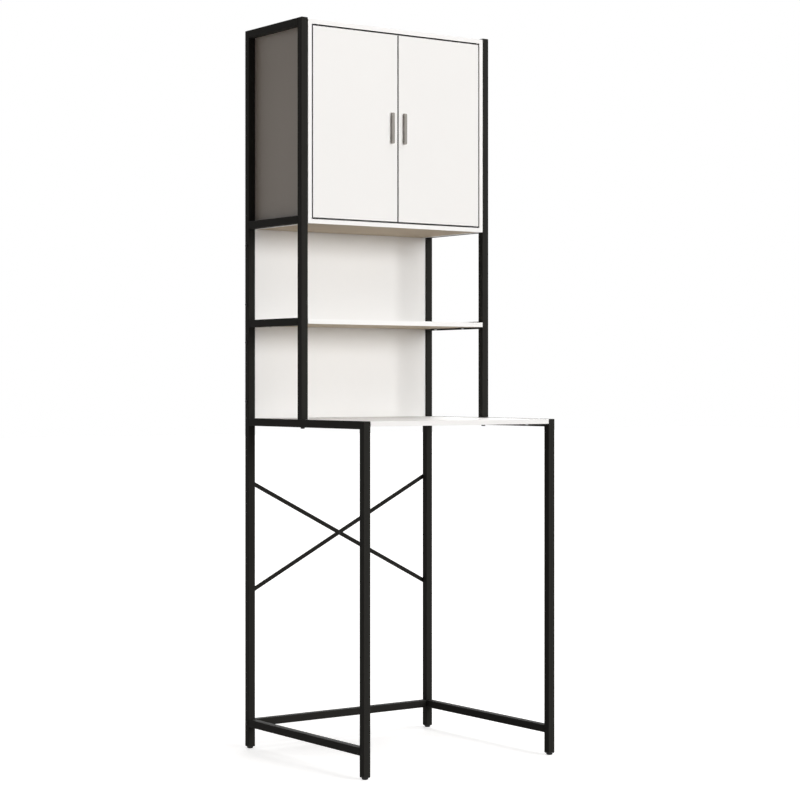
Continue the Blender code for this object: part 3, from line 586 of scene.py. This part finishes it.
for name, rising, layer in (("brace_bar_inner", -1, 0), ("brace_bar_outer", 1, 1)):
    low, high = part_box(name)
    face = REAR + CLEARANCE + layer * (STRIP + CLEARANCE)
    reach = high.x - STRIP_WIDTH / 2
    middle_z = (low.z + high.z) / 2
    rise = (high.z - low.z - STRIP_WIDTH) / 2 * rising
    start, end = Vector((-reach, face, middle_z - rise)), Vector((reach, face, middle_z + rise))
    strip = bmesh.new()
    loops = []
    for depth, inset in ((0, STRIP_EASE), (STRIP_EASE, 0), (STRIP - STRIP_EASE, 0), (STRIP, STRIP_EASE)):
        loops.append([strip.verts.new(point + BACK * depth)
                      for point in strip_outline(start, end, STRIP_WIDTH - 2 * inset)])
    shell(strip, loops)
    piece(name + "_strip", strip, [powder_coat], "frame", [name])
    fixings = bmesh.new()
    for seat in (start, end):
        screw(fixings, seat + BACK * STRIP, BACK, BRACE_HEAD, cross)
        if layer:
            turned(fixings, COLLAR, seat - BACK * (STRIP + CLEARANCE), BACK)
    if layer:
        rivet = (start + end) / 2 + BACK * STRIP
        turned(fixings, RIVET_REAR, rivet, BACK)
        turned(fixings, RIVET_FRONT, rivet - BACK * (2 * STRIP + CLEARANCE), FORWARD)
    piece(name + "_screws", fixings, [black_steel], "frame")

# Table board and shelf: chipboard faced with satin white melamine, with white edging glued round it.
# Their lower faces are painted buff, as warm painted shade. Each lies on four welded tabs, and pan screws
# come up through them.
BOARD = 0.013
FACE_EASE = 0.0003
EDGING = 0.0008
GLUE_LINE = 0.00012
FLAT = 0.99
TAB_REACH = 0.022
TAB_WIDTH = 0.024
TAB = 0.002
TAB_END = 0.060
TAB_HOLE = 0.012
TAB_EASE = 0.0003
TAB_EASE_SHARE = 0.975
TAB_SHARES = ((0.5, 0.5), (-0.32, 0.5), (-0.42, 0.47), (-0.48, 0.38), (-0.5, 0.28),
              (-0.5, -0.28), (-0.48, -0.38), (-0.42, -0.47), (-0.32, -0.5), (0.5, -0.5))
PAN_HEAD = (0.004, 0.0022)
PAN_SHANK = (0.011, 0.0017)
MELAMINE_GREY = (0.858, 0.854, 0.845)
MELAMINE_WHITE = (0.892, 0.888, 0.879)
MELAMINE_CLOUD = 0.25
MELAMINE_WAVE = 0.005
MELAMINE_PEARL = 0.0009
MELAMINE_DEPTH = 0.00001
EDGING_GREY = (0.905, 0.903, 0.898)
EDGING_WHITE = (0.935, 0.933, 0.928)
EDGING_STREAK = 0.002
EDGING_DEPTH = 0.00001
UNDERSIDE_SHADE_BUFF = (0.47, 0.385, 0.280)
UNDERSIDE_SHADE_PALE = (0.61, 0.515, 0.395)
UNDERSIDE_SHADE_CLOUD = 0.05
UNDERSIDE_SHADE_GRAIN = 0.0012
UNDERSIDE_SHADE_STRETCH_SHARES = (0.12, 1, 1)
UNDERSIDE_SHADE_DEPTH = 0.00003

melamine, place = material("white_melamine", {"Specular IOR Level": 0.45})
cloud = place.noise(MELAMINE_CLOUD, 3)
pearl = place.noise(MELAMINE_PEARL, 2)
dress(melamine, (cloud * 0.7 + pearl * 0.3).between(MELAMINE_GREY, MELAMINE_WHITE),
      0.40 + pearl * 0.08 + cloud * 0.05, pearl + place.noise(MELAMINE_WAVE) * 2, MELAMINE_DEPTH)

edging, place = material("white_edging", {"Specular IOR Level": 0.5})
streak = place.noise(EDGING_STREAK, 2)
dress(edging, streak.between(EDGING_GREY, EDGING_WHITE), 0.30 + streak * 0.08, streak, EDGING_DEPTH)

# Painted shade: a warm buff for the boards' lower faces.
underside_shade_finish, place = material("painted_underside_shade", {"Specular IOR Level": 0.3})
cloud = place.noise(UNDERSIDE_SHADE_CLOUD, 4)
stretched_grain = place.scaled(*UNDERSIDE_SHADE_STRETCH_SHARES).noise(UNDERSIDE_SHADE_GRAIN, 3)
dress(underside_shade_finish, (cloud * 0.6 + stretched_grain * 0.4).between(UNDERSIDE_SHADE_BUFF, UNDERSIDE_SHADE_PALE), 0.62 + stretched_grain * 0.12, stretched_grain,
      UNDERSIDE_SHADE_DEPTH)


def block(shape, low, high, easing, steps=3):
    """A box between two opposite corners, with eased edges."""
    matrix = Matrix.Translation((low + high) / 2) @ Matrix.Diagonal((*(high - low), 1))
    points = set(bmesh.ops.create_cube(shape, size=1, matrix=matrix)["verts"])
    edges = [edge for edge in shape.edges if edge.verts[0] in points]
    bmesh.ops.bevel(shape, geom=edges, offset=easing, segments=steps, affect="EDGES", profile=0.5)


def faced_board(low, high):
    """The shape of a faced board: its eased edges, and the glue line of its edging on both faces."""
    shape = bmesh.new()
    block(shape, low, high, FACE_EASE)
    thin = min(range(3), key=lambda i: (high - low)[i])
    bmesh.ops.recalc_face_normals(shape, faces=shape.faces)
    flats = [face for face in shape.faces if abs(face.normal[thin]) > FLAT and len(face.verts) == 4]
    flats = sorted(flats, key=lambda face: face.calc_area())[-2:]
    for face in shape.faces:
        face.material_index = 1
    for width, depth in ((EDGING, 0), (GLUE_LINE, -GLUE_LINE), (GLUE_LINE, GLUE_LINE)):
        bmesh.ops.inset_individual(shape, faces=flats, thickness=width, depth=depth)
    for face in flats:
        face.material_index = 0
    return shape


def faces_down(face):
    return face.normal.z < -FLAT and face.material_index == 0


def board(name, low, high, body, nodes, odd_finish=None, odd_faces=None):
    """A faced board in place of nodes. An odd finish goes on those of its faces that a test picks."""
    shape = faced_board(low, high)
    shape.normal_update()
    for face in shape.faces:
        if odd_finish and odd_faces(face):
            face.material_index = 2
    finishes = [melamine, edging] + ([odd_finish] if odd_finish else [])
    piece(name, shape, finishes, body, nodes)


for name, face in (("table_board", FRONT), ("shelf_board", POST_FRONT)):
    low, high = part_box(name)
    low.z = high.z - BOARD
    board(name + "_faced", low, high, "frame", [name], underside_shade_finish, faces_down)
    tabs = bmesh.new()
    heads = bmesh.new()
    for word, side in SIDES:
        plate = [Vector((side * x * TAB_REACH, y * TAB_WIDTH)) for x, y in TAB_SHARES]
        eased = [point * TAB_EASE_SHARE for point in plate]
        for depth in (face + TUBE + TAB_END, REAR - TUBE - TAB_END):
            foot = Vector((side * (high.x - TAB_REACH / 2), depth, low.z - CLEARANCE - TAB))
            skin(tabs, [(eased, 0), (plate, TAB_EASE), (plate, TAB - TAB_EASE), (eased, TAB)], foot, UP)
            seat = Vector((side * (high.x + CLEARANCE - TAB_HOLE), depth, foot.z - CLEARANCE))
            screw(heads, seat, DOWN, PAN_HEAD, cross, *PAN_SHANK)
    piece(name + "_tabs", tabs, [powder_coat], "frame")
    piece(name + "_screws", heads, [zinc], "frame")

# Back panels: two faced boards between the rear posts, one above the table board and one above the
# shelf. The screws through the posts go into their ends.
for name in ("back_panel_lower", "back_panel_upper"):
    low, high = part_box(name)
    board(name + "_faced", low, high, "frame", [name])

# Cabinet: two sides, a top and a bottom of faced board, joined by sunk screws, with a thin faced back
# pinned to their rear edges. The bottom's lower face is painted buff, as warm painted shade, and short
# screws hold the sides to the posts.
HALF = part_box("back_panel_upper")[1].x
TOP_LOW, TOP_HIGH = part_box("cabinet_top")
BOTTOM_LOW, BOTTOM_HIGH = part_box("cabinet_bottom")
CLEAR_HALF = HALF - (TOP_HIGH.z - TOP_LOW.z)
PIN_INSET = 0.0065
PIN_SIDES = 16
PIN_HEAD = ((0.0022, -0.001), (0.0024, 0.0002), (0.0020, 0.0005), (0.0008, 0.0006))
ROW_SHARES = (0.06, 0.28, 0.5, 0.72, 0.94)
COLUMN_SHARES = (0.2, 0.4, 0.6, 0.8)
for word, side in SIDES:
    near, far = sorted((side * CLEAR_HALF, side * HALF))
    board("cabinet_side_" + word + "_faced", Vector((near, TOP_LOW.y, BOTTOM_LOW.z)),
          Vector((far, TOP_HIGH.y, TOP_HIGH.z)), "frame", ["cabinet_side_" + word])
for name, odd_finish in (("cabinet_top", None), ("cabinet_bottom", underside_shade_finish)):
    low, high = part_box(name)
    low.x, high.x = -CLEAR_HALF, CLEAR_HALF
    board(name + "_faced", low, high, "frame", [name], odd_finish, faces_down)
low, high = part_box("cabinet_back")
board("cabinet_back_faced", low, high, "frame", ["cabinet_back"])

seats = [(low.x + share * (high.x - low.x), z)
         for z in (low.z + PIN_INSET, high.z - PIN_INSET) for share in ROW_SHARES]
seats += [(x, low.z + share * (high.z - low.z))
          for x in (low.x + PIN_INSET, high.x - PIN_INSET) for share in COLUMN_SHARES]
pins = bmesh.new()
for x, z in seats:
    turned(pins, PIN_HEAD, Vector((x, high.y, z)), BACK, PIN_SIDES)
piece("cabinet_back_pins", pins, [zinc], "frame")

# Painted shade in the door gaps: thin near-black sheets round the inside of the cabinet's front opening,
# cut short of the hinge bushes. They paint the gaps round the doors black.
SHADE_SHEET = 0.0005
SHADE_SHEET_WIDTH = 0.012
SHADE_SHEET_SETBACK = 0.0004
SHADE_SHEET_REACH = 0.2625
SHADE_SHEET_EASE = 0.00015
SHADE_SHEET_BLACK = (0.010, 0.010, 0.010)
SHADE_SHEET_GREY = (0.024, 0.023, 0.022)
SHADE_SHEET_CELL = 0.0009
SHADE_SHEET_DEPTH = 0.0002

# Near-black with a faint random mottle: painted shade for the door gaps.
shade_sheet_finish, place = material("painted_gap_shade", {"Specular IOR Level": 0.1})
sheet_mottle = place.noise(SHADE_SHEET_CELL, 3)
dress(shade_sheet_finish, sheet_mottle.between(SHADE_SHEET_BLACK, SHADE_SHEET_GREY), 0.85 + sheet_mottle * 0.1, sheet_mottle, SHADE_SHEET_DEPTH)

front = TOP_LOW.y + SHADE_SHEET_SETBACK
rear = front + SHADE_SHEET_WIDTH
strips = [((-SHADE_SHEET_REACH, front, TOP_LOW.z - SHADE_SHEET), (SHADE_SHEET_REACH, rear, TOP_LOW.z)),
          ((-SHADE_SHEET_REACH, front, BOTTOM_HIGH.z), (SHADE_SHEET_REACH, rear, BOTTOM_HIGH.z + SHADE_SHEET))]
for _, side in SIDES:
    near, far = sorted((side * CLEAR_HALF, side * (CLEAR_HALF - SHADE_SHEET)))
    strips.append(((near, front, BOTTOM_HIGH.z + SHADE_SHEET), (far, rear, TOP_LOW.z - SHADE_SHEET)))
shade_sheets = bmesh.new()
for low, high in strips:
    block(shade_sheets, Vector(low), Vector(high), SHADE_SHEET_EASE, 2)
piece("painted_shade_sheets", shade_sheets, [shade_sheet_finish], "frame")

# Inner shelf: one faced board inside the cabinet, with edging glued round it. Four dowels in its ends
# carry it between the cabinet's sides.
low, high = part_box("inner_shelf")
low.x, high.x = CLEARANCE - CLEAR_HALF, CLEAR_HALF - CLEARANCE
board("inner_shelf_faced", low, high, "frame", ["inner_shelf"])

# Hinge bushes: flanged bushes moulded in black nylon, pressed into the cabinet's bottom and top. The
# doors' pins turn in them.
BUSH_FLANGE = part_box("door_left")[0].z - BOTTOM_HIGH.z - 2 * CLEARANCE
BUSH_RIM = 0.007
BUSH_RIM_EASE = 0.0006
BUSH_RIM_EASE_HEIGHT = 0.0005
BUSH_RADIUS = 0.0045
BUSH_BORE = 0.0028
BUSH_BORE_EASE = 0.0004
for word, _ in SIDES:
    for level, way in (("lower", DOWN), ("upper", UP)):
        name = "hinge_bush_" + level + "_" + word
        low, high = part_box(name)
        middle = (low + high) / 2
        length = high.z - low.z
        profile = ((BUSH_RIM - BUSH_RIM_EASE, 0), (BUSH_RIM, BUSH_RIM_EASE_HEIGHT), (BUSH_RIM, BUSH_FLANGE),
                   (BUSH_RADIUS, BUSH_FLANGE), (BUSH_RADIUS, length), (BUSH_BORE, length),
                   (BUSH_BORE, BUSH_BORE_EASE), (BUSH_BORE + BUSH_BORE_EASE, 0))
        bush = bmesh.new()
        turned(bush, profile, middle - way * length / 2, way, ring=True)
        piece(name + "_flanged", bush, [black_plastic], "frame", [name])

# Catch: a white moulded case screwed up under the cabinet's top. Two pairs of steel lips carry the
# pull of its magnets to the discs on the doors.
CATCH_HEIGHT = 0.014
CATCH_EASE = 0.0012
CATCH_SCREW_HEAD = (0.0036, 0.0012)
CATCH_SCREW_BITE = 0.0002
CATCH_SCREW_X = 0.020
LIP = Vector((0.012, 0.0076, 0.0012))
LIP_EASE = 0.0002
LIP_SETBACK = 0.0035
LIP_APART = 0.0026
STRIKE_X = 0.0115
STRIKE_DROP = 0.006
STRIKE_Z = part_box("door_left")[1].z - STRIKE_DROP
NYLON_GREY = (0.74, 0.73, 0.70)
NYLON_WHITE = (0.80, 0.79, 0.77)
NYLON_CLOUD = 0.006
NYLON_GRAIN = 0.0005
NYLON_DEPTH = 0.00001

nylon, place = material("white_nylon", {"Specular IOR Level": 0.45})
cloud = place.noise(NYLON_CLOUD, 2)
dress(nylon, cloud.between(NYLON_GREY, NYLON_WHITE), 0.42 + cloud * 0.15, place.noise(NYLON_GRAIN),
      NYLON_DEPTH)

low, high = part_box("magnetic_catch")
high.z = TOP_LOW.z - CLEARANCE
low.z = high.z - CATCH_HEIGHT
case = bmesh.new()
block(case, low, high, CATCH_EASE)
piece("catch_case", case, [nylon], "frame", ["magnetic_catch"])
lips = bmesh.new()
for _, side in SIDES:
    for step in (-1, 1):
        centre = Vector((side * STRIKE_X, low.y + LIP_SETBACK, STRIKE_Z + step * LIP_APART))
        block(lips, centre - LIP / 2, centre + LIP / 2, LIP_EASE, 1)
    seat = Vector((side * CATCH_SCREW_X, (low.y + high.y) / 2, low.z + CATCH_SCREW_BITE))
    screw(lips, seat, DOWN, CATCH_SCREW_HEAD, cross)
piece("catch_lips", lips, [zinc], "frame")

# Doors: faced boards like the cabinet's, with painted shade on their four edges: a near-black grey, so the
# gaps round the doors read dark. Each hangs on a steel pin at its lower and upper edge. A steel disc
# behind the free upper corner meets the catch.
DOOR = 0.015
DOOR_TRIM = Vector((0.0004, 0, 0.0004))
DOOR_EDGE_LIMIT = 0.9
DISC_RADIUS = 0.005
DISC_BITE = 0.0004
DISC_SHARES = ((1, 0.7), (0.94, 1), (0.48, 1), (0.32, 0.4))
DISC_DRIVE_SHARES = ((0.24, 0.4), (0.20, -0.2))
PIN_RADIUS = 0.0025
PIN_TIP = 0.0005
EDGE_SHADE_DARK = (0.055, 0.054, 0.053)
EDGE_SHADE_PALE = (0.085, 0.084, 0.082)
EDGE_SHADE_STREAK = 0.0025
EDGE_SHADE_DEPTH = 0.00002

# Painted shade on the doors' edges.
edge_shade_finish, place = material("painted_door_edge_shade", {"Specular IOR Level": 0.3})
streak = place.noise(EDGE_SHADE_STREAK, 3)
dress(edge_shade_finish, streak.between(EDGE_SHADE_DARK, EDGE_SHADE_PALE), 0.50 + streak * 0.12, streak, EDGE_SHADE_DEPTH)


def on_door_edge(face):
    return abs(face.normal.y) < DOOR_EDGE_LIMIT


for word, side in SIDES:
    body = "door_" + word
    low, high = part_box(body)
    depth = high.y - low.y - DOOR
    high.y = low.y + DOOR
    board(body + "_faced", low + DOOR_TRIM, high - DOOR_TRIM, body, [body], edge_shade_finish, on_door_edge)
    sections = [(circle(DISC_RADIUS), -DISC_BITE)]
    sections += [(circle(DISC_RADIUS * wide), depth * out) for wide, out in DISC_SHARES]
    sections += [(cross(DISC_RADIUS * wide), depth * out) for wide, out in DISC_DRIVE_SHARES]
    disc = bmesh.new()
    skin(disc, sections, Vector((side * STRIKE_X, high.y, STRIKE_Z)), BACK)
    piece(body + "_disc", disc, [zinc], body)
    for level in ("lower", "upper"):
        name = "door_pin_" + level + "_" + word
        low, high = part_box(name)
        length = high.z - low.z
        middle = (low + high) / 2
        pin = bmesh.new()
        turned(pin, ((PIN_RADIUS - PIN_TIP, 0), (PIN_RADIUS, PIN_TIP), (PIN_RADIUS, length - PIN_TIP),
                     (PIN_RADIUS - PIN_TIP, length)), middle - UP * length / 2, UP)
        piece(name + "_steel", pin, [zinc], body, [name])

# Handles: flat bars on two short feet, cast and brushed along their length, with a nickel finish.
# Two pan screws hold each from behind the door.
BAR = 0.004
BAR_EASE = 0.0007
BAR_SHARP = math.radians(30)
BAR_SLOPE = 0.0022
BAR_FOOT = 0.0085
FOOT_EASE = 0.001
NICKEL_DARK = (0.245, 0.228, 0.210)
NICKEL_PALE = (0.430, 0.405, 0.378)
NICKEL_CLOUD = 0.02
NICKEL_LINE = 0.00035
NICKEL_STRETCH_SHARES = (1, 1, 0.03)
NICKEL_DEPTH = 0.00003

nickel, place = material("brushed_nickel", {"Metallic": 1.0, "Anisotropic": 0.5})
lines = place.scaled(*NICKEL_STRETCH_SHARES).noise(NICKEL_LINE, 3)
cloud = place.noise(NICKEL_CLOUD, 2)
dress(nickel, (lines * 0.6 + cloud * 0.4).between(NICKEL_DARK, NICKEL_PALE), 0.30 + lines * 0.16, lines,
      NICKEL_DEPTH)

for word, side in SIDES:
    name, body = "handle_" + word, "door_" + word
    low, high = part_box(name)
    face = POST_FRONT - CLEARANCE
    out = face - low.y
    middle = (low + high) / 2
    half = (high.z - low.z) / 2
    gap = out - BAR
    inner = half - BAR_FOOT
    profile = ((0, -half), (out - BAR_SLOPE, -half), (out, BAR_SLOPE - half),
               (out, half - BAR_SLOPE), (out - BAR_SLOPE, half), (0, half),
               (0, inner), (gap - FOOT_EASE, inner), (gap, inner - FOOT_EASE),
               (gap, FOOT_EASE - inner), (gap - FOOT_EASE, -inner), (0, -inner))
    bar = bmesh.new()
    shell(bar, [[bar.verts.new((x, face - away, middle.z + along)) for away, along in profile]
                for x in (low.x, high.x)])
    bmesh.ops.recalc_face_normals(bar, faces=bar.faces)
    sharp = [edge for edge in bar.edges
             if edge.calc_face_angle(0) > BAR_SHARP and edge.calc_face_angle_signed(0) > 0]
    bmesh.ops.bevel(bar, geom=sharp, offset=BAR_EASE, segments=3, affect="EDGES", profile=0.5)
    piece(name + "_bar", bar, [nickel], body, [name])
    backs = bmesh.new()
    for step in (-1, 1):
        height = middle.z + step * (half - BAR_FOOT / 2)
        screw(backs, Vector((middle.x, POST_FRONT + DOOR + CLEARANCE, height)), BACK, PAN_HEAD, cross)
    piece(name + "_screws", backs, [zinc], body)
